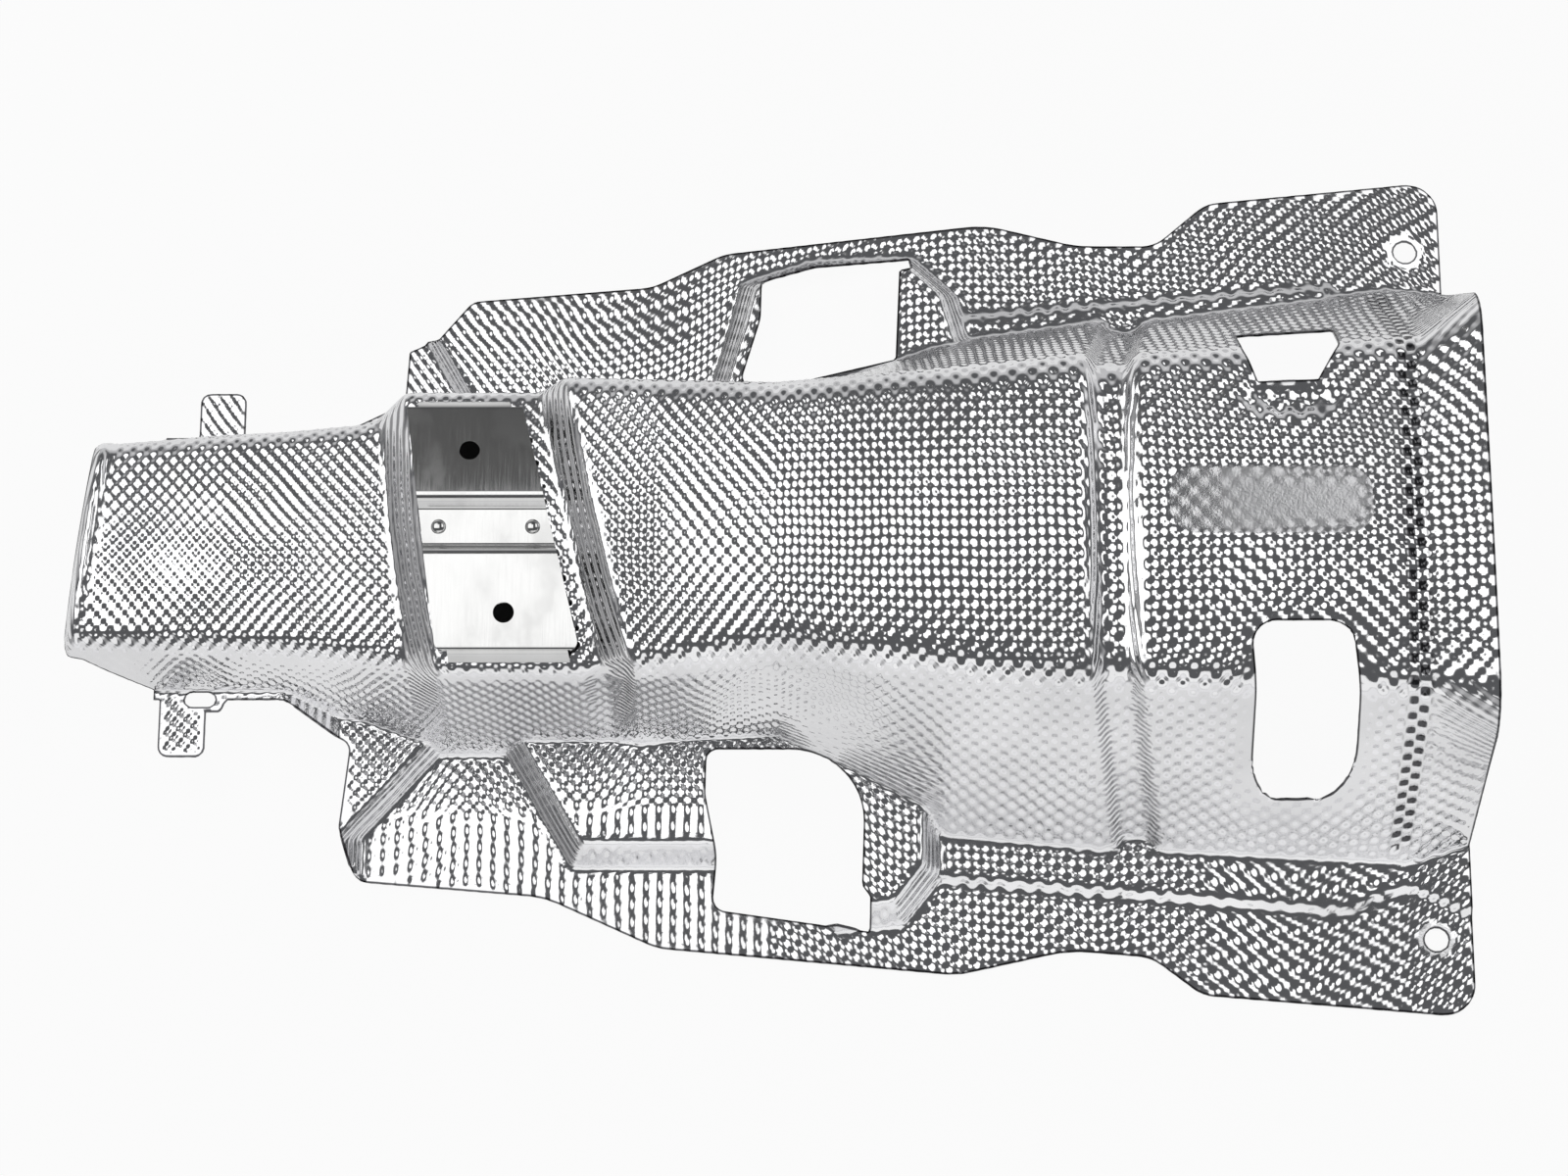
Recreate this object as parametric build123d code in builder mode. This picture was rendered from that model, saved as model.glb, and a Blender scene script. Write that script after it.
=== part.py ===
from build123d import *

import os
from dataclasses import dataclass, fields, replace
from math import atan2, cos, radians, sin, tan

# Exhaust heat shield: one pressed aluminium sheet that bridges an exhaust tunnel,
# with a folded steel bracket riveted to a ledge of its crown.
# +X runs along the tunnel to its wide end, +Z is up, and the flanges lie on Z = 0.
# "Near" sizes belong to the -Y side of the tunnel and "far" sizes to the +Y side.

os.makedirs("parts", exist_ok=True)

# Sheet
SHEET = 1.0                 # thickness of the pressed sheet
END_LEFT = -302.2           # narrow end, on the centre line
END_RIGHT = 307.0           # wide end
END_LEFT_TURN = -6.5        # the narrow end is cut askew, degrees
LEFT_LIP = 8.0              # length of the rolled lip at the narrow end
LEFT_LIP_RISE = 3.0
LEFT_ROLL = 4.0             # from the top of the roll to the edge
LEFT_ROLL_FALL = 4.0
LEFT_END_HALF = 52.0        # half width of the cut end
LEFT_END_R = 12.0           # its rounded corners
RIGHT_LIP = 26.0            # length of the flared lip at the wide end
RIGHT_LIP_RISE = 6.0

# Crown heights, and how far each crown arches above its shoulders
LEFT_CROWN = 71.0
LEFT_END_CROWN = 66.5       # the crown falls away to the narrow end
LEFT_CREST_X = -238.0       # where that fall starts
LEFT_ARCH = 4.0
LEDGE_CROWN = 84.0
LEDGE_ARCH = 6.0
MAIN_CROWN = 104.0
MAIN_CROWN_START = 97.0
MAIN_ARCH = 5.0
END_ARCH = 2.0

# Half widths at the shoulders of the crown
LEFT_TOP = 46.0
RAMP_TOP = 51.5
STEP_TOP = 57.0
LEDGE_TOP = 65.0
MAIN_TOP_START = 68.0
WAIST_TOP = 62.0
FLARE_TOP = 67.0
CHANNEL_TOP = 73.0
CREASE_TOP_NEAR = 77.0
CREASE_TOP_FAR = 81.0
END_TOP_NEAR = 92.0
END_TOP_FAR = 100.0

# Half widths where the walls meet the flanges
LEFT_BASE = 57.0
WING_BASE = 78.0
WAIST_BASE_NEAR = 75.0
WAIST_BASE_FAR = 90.0
FLARE_BASE = 118.0
CHANNEL_BASE_NEAR = 125.0
CHANNEL_BASE_FAR = 129.0
CREASE_BASE_NEAR = 131.0
CREASE_BASE_FAR = 144.0
END_BASE_NEAR = 121.0
END_BASE_FAR = 141.0

# Bend radii
LEFT_SHOULDER_R = 12.0
LEDGE_SHOULDER_R = 7.0
MAIN_SHOULDER_R = 18.0
END_SHOULDER_R = 28.0

# Narrow flange of the left tunnel, which ramps down to the wings
LEFT_FLANGE = 28.0          # height of the narrow flange
LEFT_FLANGE_REACH = 4.0     # how far it stands out from the wall
RAMP_HIGH_X = -213.0
RAMP_LOW_X = -180.0
RAMP_LOW_SHARE = 0.5        # how far the walls have spread at the foot of the ramp
RAMP_CORNER_R = 15.0

# Two steps that lift the crown to the bracket ledge and on to the main tunnel
STEP_ONE_X = -158.0
STEP_ONE_RUN = 13.0
STEP_ONE_TURN = 7.5        # askew in plan, degrees
STEP_TWO_X = -80.5
STEP_TWO_RUN = 12.0
STEP_TWO_TURN = 13.0

# Waist beside the windows, and the flare of the walls to the wide end
FLARE_START_X = 2.0
FLARE_END_X = 76.0

# Channel pressed across the arch
CHANNEL_X = 161.0           # where the channel's centre plane meets the floor
CHANNEL_LEAN = 8.5          # the plane leans back, degrees
CHANNEL_WIDTH = 20.0
CHANNEL_FLOOR = 13.0
CHANNEL_DEPTH = 5.0

# Raised pads round the windows and at the wings' corners, and the flange strips
PAD_HEIGHT = 14.0
PAD_DRAFT = 30.0
CORNER_HEIGHT = 10.0
STRIP_HEIGHT = 3.0

# Flange bolt holes and the plan of the flanges
FLANGE_REACH = 197.0        # flange edge from the centre line at the wide end
FLANGE_CORNER_R = 14.0
BOLT_FROM_END = 16.0
BOLT_SPACING = 324.0
BOLT_HOLE = 10.5

# Tabs at the narrow end
TAB_WIDTH = 20.5
TAB_NEAR_REACH = 87.0
TAB_FAR_REACH = 82.0
TAB_CORNER_R = 4.5
TAB_NEAR_X = -258.0
TAB_FAR_X = -245.5
SLOT_LENGTH = 13.5
SLOT_WIDTH = 6.5
SLOT_X = -250.5
SLOT_RIM = 2.3              # sheet left outside the slot

# Slope that trims the walls of the narrow end
TRIM_X = -271.0
TRIM_LOW = 29.5
TRIM_HIGH = 54.0

# Bracket, folded from steel strip
STRIP_STEEL = 1.5
SEAT_HALF = 9.0             # half length of the flat that is riveted down
JOGGLE_RUN = 3.6
JOGGLE_RISE = 4.6
LEAF_LENGTH = 43.0          # each leaf, from joggle to end fold
LEAF_FALL = 7.0             # slope of the leaves, degrees
TOE_LENGTH = 5.0
TOE_FALL = 55.0             # slope of the folded toes, degrees
BRACKET_BEND_R = 2.0        # inside radius of the folds
BRACKET_X = -123.0          # middle of the bracket on the centre line
BRACKET_WIDTH_FAR = 50.0
BRACKET_WIDTH_NEAR = 62.0
BRACKET_SKEW = -10.5        # the strip crosses the ledge askew, degrees
BRACKET_CORNER_R = 3.5
TOE_NARROWING = 5.0
BRACKET_HOLE = 9.0
BRACKET_PUNCH = 10.0        # how far the hole punch reaches to each side
HOLE_FAR_Y = 34.0
HOLE_FAR_X = -130.5
HOLE_NEAR_Y = -39.0
HOLE_NEAR_X = -114.5
ACCESS_SIZE = 14.0          # square clearance openings in the sheet below the bracket's holes

# Rivets
RIVET_PITCH = 40.5
RIVET_SHANK = 4.0           # across the corners: shank and head are drawn with flats
SHANK_SIDES = 8
RIVET_HEAD = 6.6
HEAD_SIDES = 16
RIVET_HEAD_DRAFT = 41.0     # slope of the head's sides from upright, degrees
RIVET_HEAD_HEIGHT = 1.8
RIVET_TAIL = 1.5            # how far the shank stands out below the sheet
RIVET_FIT = 0.05            # radial clearance of the shank

# Feet of the raised areas, in plan: corners with their radii
NEAR_PAD = [
    (-128, -60, 0), (-88, -130, 0), (-8, -130, 12), (28, -159, 0), (58, -156, 0), (75, -134, 0),
    (75, -104, 0), (66, -60, 0),
]
FAR_PAD = [
    (93, 60, 0), (93, 110, 0), (84, 140, 0), (64, 159, 0), (18, 157, 0), (-14, 146, 0), (-20, 122, 12),
    (-38, 60, 0),
]
NEAR_CORNER = [(-240, -30, 0), (-240, -136, 0), (-198, -136, 0), (-130, -60, 0), (-130, -30, 0)]
FAR_CORNER = [(-119, 30, 0), (-119, 60, 0), (-162, 136, 0), (-240, 136, 0), (-240, 30, 0)]
NEAR_STRIP = [
    (60, -60, 0), (60, -135, 0), (252, -151, 0), (272, -142, 12), (283, -141, 12), (330, -160, 0),
    (330, -60, 0),
]
FAR_STRIP = [(76, 60, 0), (256, 60, 0), (256, 145, 0), (76, 129, 0)]

# Edges of the wings and flanges in plan, left to right and right to left: corners with their radii
NEAR_WING = [
    (-186, -76, 6), (-190, -114, 0), (-183, -136, 8), (-100, -143, 40), (-50, -166, 30),
    (81, -178, 40), (130, -167, 60), (166, -170, 20), (188, -187, 16),
]
FAR_WING = [
    (200, 186, 18), (176, 165, 16), (140, 165, 50), (98, 175.5, 50), (-22, 161, 25), (-55, 144.5, 25),
    (-137, 137.5, 8), (-158, 112, 0), (-164.5, 109, 0), (-166, 84, 0), (-190, 72, 10),
]

# Windows beside the waist, the hatch in the near wall and the vent in the far shoulder, in plan
NEAR_WINDOW = [
    (-28.5, -79.5, 5), (-29, -100, 15), (-24, -126, 15), (-26, -148.5, 6), (43, -158.5, 0), (43, -146, 0),
    (39.5, -141, 0), (41.5, -79.5, 32),
]
FAR_WINDOW = [
    (-15, 90, 5), (10, 92.5, 40), (56, 104, 0), (58, 147.5, 0), (64, 149, 0), (63, 158.5, 0),
    (-4.5, 145.5, 5), (-5, 124, 20),
]
HATCH = [(207.8, -108.2, 14), (252, -108.2, 14), (246.3, -47.5, 10), (203.5, -47.5, 10)]
VENT = [(210, 61, 0), (236, 62, 0), (246, 80, 0), (247, 97, 0), (205, 96, 0), (204.5, 78, 0)]

# Extents of the tool blocks, outside every edge of the part
BLOCK_MARGIN = 20.0
BLOCK_DEPTH = 40.0
FOOT_DROP = 1.5             # how far the walls run on below the flange

# Where the sections between two others lie, as shares of the way
FLARE_SHARES = (0.0, 0.4, 1.0)
LIP_SHARES = (0.0, 1.1)                     # runs past the end, where the sheet is cut off
ROLL_SHARES = (2.0, 0.0)                    # so does the roll

block_half = FLANGE_REACH + BLOCK_MARGIN
flange_top = SHEET
bolt_x = END_RIGHT - BOLT_FROM_END
open_left = END_LEFT - BLOCK_MARGIN
open_right = END_RIGHT + BLOCK_MARGIN
cut_height = MAIN_CROWN + RIGHT_LIP_RISE + BLOCK_MARGIN


@dataclass(frozen=True)
class Station:
    """One cross-section of the pressed form, with its outer face's sizes."""

    x: float
    crown: float
    arch: float
    top_near: float
    top_far: float
    base_near: float
    base_far: float
    flange: float = flange_top
    shoulder_r: float = MAIN_SHOULDER_R
    turn: float = 0.0
    lean: float = 0.0
    lag: float = 0.0        # how far the inner face's section follows, for each mm of sheet


def wall_angle(station):
    """Mean slope of a station's walls above the floor, in radians."""
    run = (station.base_near + station.base_far - station.top_near - station.top_far) / 2
    return atan2(station.crown - station.arch - station.flange, run)


def pressed_in(station, depth):
    """The same station with its arch pressed inwards by depth."""
    slope = wall_angle(station)
    top = depth * tan(slope / 2)
    base = depth / sin(slope)
    return replace(
        station,
        crown=station.crown - depth,
        top_near=station.top_near - top,
        top_far=station.top_far - top,
        base_near=station.base_near - base,
        base_far=station.base_far - base,
    )


def between(start, end, share, x):
    """A station at x whose other sizes lie the given share of the way from start to end."""
    sizes = {
        field.name: getattr(start, field.name) * (1 - share) + getattr(end, field.name) * share
        for field in fields(Station)
    }
    return replace(Station(**sizes), x=x)


def ease(share):
    """Smooth step from 0 to 1."""
    return share * share * (3 - 2 * share)


def section_plane(station, inset):
    """The plane of a cross-section: local X runs to the far side and local Y up."""
    turn = radians(station.turn)
    lean = radians(station.lean)
    across = (-sin(turn), cos(turn), 0)
    along = (cos(turn) * cos(lean), sin(turn) * cos(lean), sin(lean))
    return Plane(origin=(station.x + station.lag * inset, 0, 0), x_dir=across, z_dir=along)


def section(station, inset):
    """The closed profile of a station, moved inwards by inset."""
    stretch = 1 / cos(radians(station.turn))
    lift = 1 / cos(radians(station.lean))
    foot = (station.flange - FOOT_DROP) * lift
    crown = station.crown * lift
    shoulder = crown - station.arch
    near_base = -station.base_near * stretch
    near_top = -station.top_near * stretch
    far_top = station.top_far * stretch
    far_base = station.base_far * stretch
    middle = (near_top + far_top) / 2
    with BuildSketch(section_plane(station, inset)) as profile:
        with BuildLine():
            Polyline((near_base, -BLOCK_DEPTH), (near_base, foot), (near_top, shoulder))
            ThreePointArc((near_top, shoulder), (middle, crown), (far_top, shoulder))
            Polyline((far_top, shoulder), (far_base, foot), (far_base, -BLOCK_DEPTH), (near_base, -BLOCK_DEPTH))
        make_face()
        shoulders = profile.vertices().sort_by(Axis.X)[2:4]
        fillet(shoulders, radius=station.shoulder_r)
        if inset > 0:
            offset(amount=-inset)
    return profile.sketch


# Stations of the left tunnel
lip_crease = Station(
    x=END_LEFT + LEFT_LIP,
    crown=LEFT_END_CROWN,
    arch=LEFT_ARCH,
    top_near=LEFT_TOP,
    top_far=LEFT_TOP,
    base_near=LEFT_BASE,
    base_far=LEFT_BASE,
    flange=LEFT_FLANGE + flange_top,
    shoulder_r=LEFT_SHOULDER_R,
    turn=END_LEFT_TURN,
)
roll_top = replace(lip_crease, x=END_LEFT + LEFT_ROLL, crown=LEFT_END_CROWN + LEFT_LIP_RISE)
roll_end = replace(lip_crease, x=END_LEFT, crown=roll_top.crown - LEFT_ROLL_FALL)
ramp_high = replace(
    lip_crease, x=RAMP_HIGH_X, crown=LEFT_CROWN, top_near=RAMP_TOP, top_far=RAMP_TOP, turn=0.0
)
crest_share = (LEFT_CREST_X - lip_crease.x) / (RAMP_HIGH_X - lip_crease.x)
left_crest = between(lip_crease, ramp_high, crest_share, LEFT_CREST_X)
left_crest = replace(left_crest, crown=LEFT_CROWN, turn=0.0)
step_one_low = replace(
    ramp_high,
    x=STEP_ONE_X - STEP_ONE_RUN / 2,
    top_near=STEP_TOP,
    top_far=STEP_TOP,
    base_near=WING_BASE,
    base_far=WING_BASE,
    flange=flange_top,
    turn=STEP_ONE_TURN,
    lag=tan(atan2(LEDGE_CROWN - LEFT_CROWN, STEP_ONE_RUN) / 2),
)
ramp_low = between(ramp_high, step_one_low, RAMP_LOW_SHARE, RAMP_LOW_X)
ramp_low = replace(ramp_low, flange=flange_top, turn=0.0, lag=0.0)

# Stations of the ledge and the main tunnel
step_one_high = replace(
    step_one_low,
    x=STEP_ONE_X + STEP_ONE_RUN / 2,
    crown=LEDGE_CROWN,
    arch=LEDGE_ARCH,
    top_near=LEDGE_TOP,
    top_far=LEDGE_TOP,
    shoulder_r=LEDGE_SHOULDER_R,
)
step_two_low = replace(
    step_one_high,
    x=STEP_TWO_X - STEP_TWO_RUN / 2,
    turn=STEP_TWO_TURN,
    lag=tan(atan2(MAIN_CROWN_START - LEDGE_CROWN, STEP_TWO_RUN) / 2),
)
step_two_high = replace(
    step_two_low,
    x=STEP_TWO_X + STEP_TWO_RUN / 2,
    crown=MAIN_CROWN_START,
    arch=MAIN_ARCH,
    top_near=MAIN_TOP_START,
    top_far=MAIN_TOP_START,
    shoulder_r=LEFT_SHOULDER_R,
)
waist = Station(
    x=FLARE_START_X,
    crown=MAIN_CROWN,
    arch=MAIN_ARCH,
    top_near=WAIST_TOP,
    top_far=WAIST_TOP,
    base_near=WAIST_BASE_NEAR,
    base_far=WAIST_BASE_FAR,
)
flared = replace(
    waist,
    x=FLARE_END_X,
    top_near=FLARE_TOP,
    top_far=FLARE_TOP,
    base_near=FLARE_BASE,
    base_far=FLARE_BASE,
)
channel_low = replace(
    waist,
    x=CHANNEL_X - CHANNEL_WIDTH / 2,
    top_near=CHANNEL_TOP,
    top_far=CHANNEL_TOP,
    base_near=CHANNEL_BASE_NEAR,
    base_far=CHANNEL_BASE_FAR,
    lean=CHANNEL_LEAN,
    lag=-tan(atan2(CHANNEL_DEPTH, (CHANNEL_WIDTH - CHANNEL_FLOOR) / 2) / 2),
)
channel_high = replace(channel_low, x=CHANNEL_X + CHANNEL_WIDTH / 2, lag=-channel_low.lag)
crease = replace(
    waist,
    x=END_RIGHT - RIGHT_LIP,
    top_near=CREASE_TOP_NEAR,
    top_far=CREASE_TOP_FAR,
    base_near=CREASE_BASE_NEAR,
    base_far=CREASE_BASE_FAR,
)
end = replace(
    crease,
    x=END_RIGHT,
    crown=MAIN_CROWN + RIGHT_LIP_RISE,
    arch=END_ARCH,
    top_near=END_TOP_NEAR,
    top_far=END_TOP_FAR,
    base_near=END_BASE_NEAR,
    base_far=END_BASE_FAR,
    shoulder_r=END_SHOULDER_R,
)


def run(start, finish, shares, form=ease):
    """Stations between two others, at shares of the way, with sizes eased by form."""
    return [between(start, finish, form(share), start.x + (finish.x - start.x) * share) for share in shares]


def even(share):
    """Straight change."""
    return share


channel_fall = (CHANNEL_WIDTH - CHANNEL_FLOOR) / 2
stations = run(roll_top, roll_end, ROLL_SHARES, even)
stations += [lip_crease, left_crest, ramp_high, ramp_low]
stations += [step_one_low, step_one_high, step_two_low, step_two_high]
stations += run(waist, flared, FLARE_SHARES)
stations += [
    channel_low,
    replace(pressed_in(channel_low, CHANNEL_DEPTH), x=channel_low.x + channel_fall),
    replace(pressed_in(channel_high, CHANNEL_DEPTH), x=channel_high.x - channel_fall),
    channel_high,
]
stations += run(crease, end, LIP_SHARES, even)


raised_areas = [
    (NEAR_PAD, PAD_HEIGHT),
    (FAR_PAD, PAD_HEIGHT),
    (NEAR_CORNER, CORNER_HEIGHT),
    (FAR_CORNER, CORNER_HEIGHT),
    (NEAR_STRIP, STRIP_HEIGHT),
    (FAR_STRIP, STRIP_HEIGHT),
]


def pad(corners, height, inset):
    """A raised area with sloping sides, its foot given by corners on the flange."""
    with BuildPart() as raised_area:
        with BuildSketch(Plane.XY.offset(flange_top)) as foot:
            with BuildLine():
                FilletPolyline(*[(x, y) for x, y, r in corners], radius=[r for x, y, r in corners], close=True)
            make_face()
            if inset > 0:
                offset(amount=-inset / cos(radians(PAD_DRAFT)))
        extrude(amount=height - inset, taper=PAD_DRAFT)
        extrude(to_extrude=foot.sketch, amount=-BLOCK_DEPTH)
    return raised_area.part


def pressed_form(inset):
    """The block that the sheet is pressed over, moved inwards by inset."""
    with BuildPart() as form:
        loft([section(station, inset) for station in stations], ruled=True)
        with BuildSketch(Plane.XZ):
            with BuildLine():
                Polyline(
                    (open_left, LEFT_FLANGE + flange_top),
                    (RAMP_HIGH_X, LEFT_FLANGE + flange_top),
                    (RAMP_LOW_X, flange_top),
                    (open_right, flange_top),
                    (open_right, -BLOCK_DEPTH),
                    (open_left, -BLOCK_DEPTH),
                    close=True,
                )
            make_face()
            if inset > 0:
                offset(amount=-inset, kind=Kind.INTERSECTION)
        extrude(amount=block_half, both=True)
        for corners, height in raised_areas:
            add(pad(corners, height, inset))
    return form.part


def tab(x, reach):
    """Corners and corner radii of a tab that stands out from the narrow flange."""
    side = -1 if reach < 0 else 1
    edge = side * narrow_edge
    start = x + side * TAB_WIDTH / 2
    finish = x - side * TAB_WIDTH / 2
    return [(start, edge, 0), (start, reach, TAB_CORNER_R), (finish, reach, TAB_CORNER_R), (finish, edge, 0)]


# Plan of the sheet: corners with their radii, round from the narrow end by the near side
narrow_edge = LEFT_BASE + LEFT_FLANGE_REACH
end_slant = LEFT_END_HALF * tan(radians(END_LEFT_TURN))
slot_end = SLOT_X + SLOT_LENGTH / 2 + SLOT_RIM
slot_edge = narrow_edge + SLOT_WIDTH / 2 + SLOT_RIM
near_edge = [
    (END_LEFT + end_slant, -LEFT_END_HALF, LEFT_END_R),
    (TRIM_X, -narrow_edge, 0),
    *tab(TAB_NEAR_X, -TAB_NEAR_REACH)[:-1],
    (TAB_NEAR_X + TAB_WIDTH / 2, -slot_edge, 0),
    (slot_end, -slot_edge, SLOT_RIM),
    (slot_end + SLOT_RIM, -narrow_edge, 0),
    (RAMP_HIGH_X, -narrow_edge, RAMP_CORNER_R),
    *NEAR_WING,
    (END_RIGHT, -FLANGE_REACH, FLANGE_CORNER_R),
]
far_edge = [
    (END_RIGHT, FLANGE_REACH, FLANGE_CORNER_R),
    *FAR_WING,
    (RAMP_HIGH_X, narrow_edge, RAMP_CORNER_R),
    *tab(TAB_FAR_X, TAB_FAR_REACH),
    (TRIM_X, narrow_edge, 0),
    (END_LEFT - end_slant, LEFT_END_HALF, LEFT_END_R),
]
outline = near_edge + far_edge

with BuildPart() as shield_panel:
    add(pressed_form(0.0))
    add(pressed_form(SHEET), mode=Mode.SUBTRACT)
    with BuildSketch(Plane.XY.offset(-SHEET)):
        with BuildLine():
            FilletPolyline(*[(x, y) for x, y, r in outline], radius=[r for x, y, r in outline], close=True)
        make_face()
    extrude(amount=cut_height, mode=Mode.INTERSECT)
    # The narrow end's side walls are trimmed on a slope
    with BuildSketch(Plane.XZ):
        with BuildLine():
            Polyline(
                (open_left, TRIM_HIGH + (END_LEFT - open_left) * (TRIM_HIGH - TRIM_LOW) / (TRIM_X - END_LEFT)),
                (TRIM_X, TRIM_LOW),
                (TRIM_X, -BLOCK_DEPTH),
                (open_left, -BLOCK_DEPTH),
                close=True,
            )
        make_face()
    extrude(amount=block_half, both=True, mode=Mode.SUBTRACT)
    # Windows, openings and holes are pierced straight down
    with BuildSketch(Plane.XY.offset(-SHEET)):
        for corners in (NEAR_WINDOW, FAR_WINDOW, HATCH, VENT):
            with BuildLine():
                FilletPolyline(*[(x, y) for x, y, r in corners], radius=[r for x, y, r in corners], close=True)
            make_face()
        with Locations((SLOT_X, -narrow_edge)):
            SlotOverall(SLOT_LENGTH, SLOT_WIDTH)
        with Locations((bolt_x, BOLT_SPACING / 2), (bolt_x, -BOLT_SPACING / 2)):
            Circle(BOLT_HOLE / 2)
        with Locations((HOLE_FAR_X, HOLE_FAR_Y), (HOLE_NEAR_X, HOLE_NEAR_Y)):
            Rectangle(ACCESS_SIZE, ACCESS_SIZE)
        with Locations((BRACKET_X - RIVET_PITCH / 2, 0), (BRACKET_X + RIVET_PITCH / 2, 0)):
            RegularPolygon(RIVET_SHANK / 2 + RIVET_FIT, SHANK_SIDES)
    extrude(amount=cut_height, mode=Mode.SUBTRACT)

shield_panel.part.label = "shield_panel"
export_step(shield_panel.part, "parts/shield_panel.step")

# Lower face of the folded strip, from the middle of its seat to the far toe
leaf = radians(LEAF_FALL)
toe = radians(TOE_FALL)
leaf_start = SEAT_HALF + JOGGLE_RUN
leaf_end = leaf_start + LEAF_LENGTH * cos(leaf)
leaf_high = LEDGE_CROWN + JOGGLE_RISE
leaf_low = leaf_high - LEAF_LENGTH * sin(leaf)
toe_end = leaf_end + TOE_LENGTH * cos(toe)
far_half = [
    (SEAT_HALF, LEDGE_CROWN),
    (leaf_start, leaf_high),
    (leaf_end, leaf_low),
    (toe_end, leaf_low - TOE_LENGTH * sin(toe)),
]
near_half = [(-y, z) for y, z in reversed(far_half)]


def bracket_edge(y, side, narrowing):
    """X of the bracket's left (-1) or right (+1) edge at a given Y."""
    share = (toe_end - y) / (2 * toe_end)
    width = BRACKET_WIDTH_FAR + (BRACKET_WIDTH_NEAR - BRACKET_WIDTH_FAR) * share
    return BRACKET_X + y * tan(radians(BRACKET_SKEW)) + side * (width / 2 - narrowing)


def leaf_plane(x, y):
    """Plane on a leaf's lower face at a point, square to the leaf."""
    side = 1 if y > 0 else -1
    fall = (abs(y) - leaf_start) * tan(leaf)
    return Plane(origin=(x, y, leaf_high - fall), x_dir=(1, 0, 0), z_dir=(0, side * sin(leaf), cos(leaf)))


bracket_reach = toe_end + BLOCK_MARGIN
bracket_plan = [
    (bracket_edge(bracket_reach, -1, TOE_NARROWING), bracket_reach, 0),
    (bracket_edge(leaf_end, -1, TOE_NARROWING), leaf_end, 0),
    (bracket_edge(leaf_end, -1, 0), leaf_end, 0),
    (bracket_edge(-leaf_end, -1, 0), -leaf_end, BRACKET_CORNER_R),
    (bracket_edge(-leaf_end, -1, TOE_NARROWING), -leaf_end, 0),
    (bracket_edge(-bracket_reach, -1, TOE_NARROWING), -bracket_reach, 0),
    (bracket_edge(-bracket_reach, 1, TOE_NARROWING), -bracket_reach, 0),
    (bracket_edge(-leaf_end, 1, TOE_NARROWING), -leaf_end, 0),
    (bracket_edge(-leaf_end, 1, 0), -leaf_end, BRACKET_CORNER_R),
    (bracket_edge(leaf_end, 1, 0), leaf_end, 0),
    (bracket_edge(leaf_end, 1, TOE_NARROWING), leaf_end, 0),
    (bracket_edge(bracket_reach, 1, TOE_NARROWING), bracket_reach, 0),
]

with BuildPart() as mounting_bracket:
    with BuildSketch(Plane.YZ.offset(BRACKET_X)):
        with BuildLine():
            FilletPolyline(*near_half, *far_half, radius=BRACKET_BEND_R + STRIP_STEEL)
            offset(amount=STRIP_STEEL, side=Side.LEFT)
        make_face()
    extrude(amount=BRACKET_WIDTH_NEAR, both=True)
    with BuildSketch(Plane.XY):
        with BuildLine():
            FilletPolyline(
                *[(x, y) for x, y, r in bracket_plan], radius=[r for x, y, r in bracket_plan], close=True
            )
        make_face()
    extrude(amount=cut_height, mode=Mode.INTERSECT)
    with BuildSketch(leaf_plane(HOLE_FAR_X, HOLE_FAR_Y), leaf_plane(HOLE_NEAR_X, HOLE_NEAR_Y)):
        Circle(BRACKET_HOLE / 2)
    extrude(amount=BRACKET_PUNCH, both=True, mode=Mode.SUBTRACT)
    with BuildSketch(Plane.XY):
        with Locations((BRACKET_X - RIVET_PITCH / 2, 0), (BRACKET_X + RIVET_PITCH / 2, 0)):
            RegularPolygon(RIVET_SHANK / 2 + RIVET_FIT, SHANK_SIDES)
    extrude(amount=cut_height, mode=Mode.SUBTRACT)

mounting_bracket.part.label = "mounting_bracket"
export_step(mounting_bracket.part, "parts/mounting_bracket.step")

# One rivet: low head on the bracket, and a shank through bracket and sheet
head_seat = LEDGE_CROWN + STRIP_STEEL
tail_end = LEDGE_CROWN - SHEET - RIVET_TAIL

with BuildPart() as rivet:
    with BuildSketch(Plane.XY.offset(head_seat)):
        RegularPolygon(RIVET_HEAD / 2, HEAD_SIDES)
    extrude(amount=RIVET_HEAD_HEIGHT, taper=RIVET_HEAD_DRAFT)
    with BuildSketch(Plane.XY.offset(tail_end)):
        RegularPolygon(RIVET_SHANK / 2, SHANK_SIDES)
    extrude(amount=head_seat - tail_end)

with BuildPart() as rivets:
    with Locations((BRACKET_X - RIVET_PITCH / 2, 0), (BRACKET_X + RIVET_PITCH / 2, 0)):
        add(rivet.part)

rivets.part.label = "rivets"
export_step(rivets.part, "parts/rivets.step")
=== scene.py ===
"""Looks of an embossed exhaust heat shield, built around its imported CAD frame.

The pressed sheet is sampled from the CAD panel on a lattice of rows and columns, cut to the panel's own
edges, embossed and given its thickness. The bracket gets a copy with rounded edges, and the rivets get domes.
"""

from __future__ import annotations

import logging
import math
from dataclasses import dataclass, field
from enum import Enum

import bmesh
import bpy
import numpy as np
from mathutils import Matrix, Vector, noise
from mathutils.bvhtree import BVHTree
from mathutils.kdtree import KDTree

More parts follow.
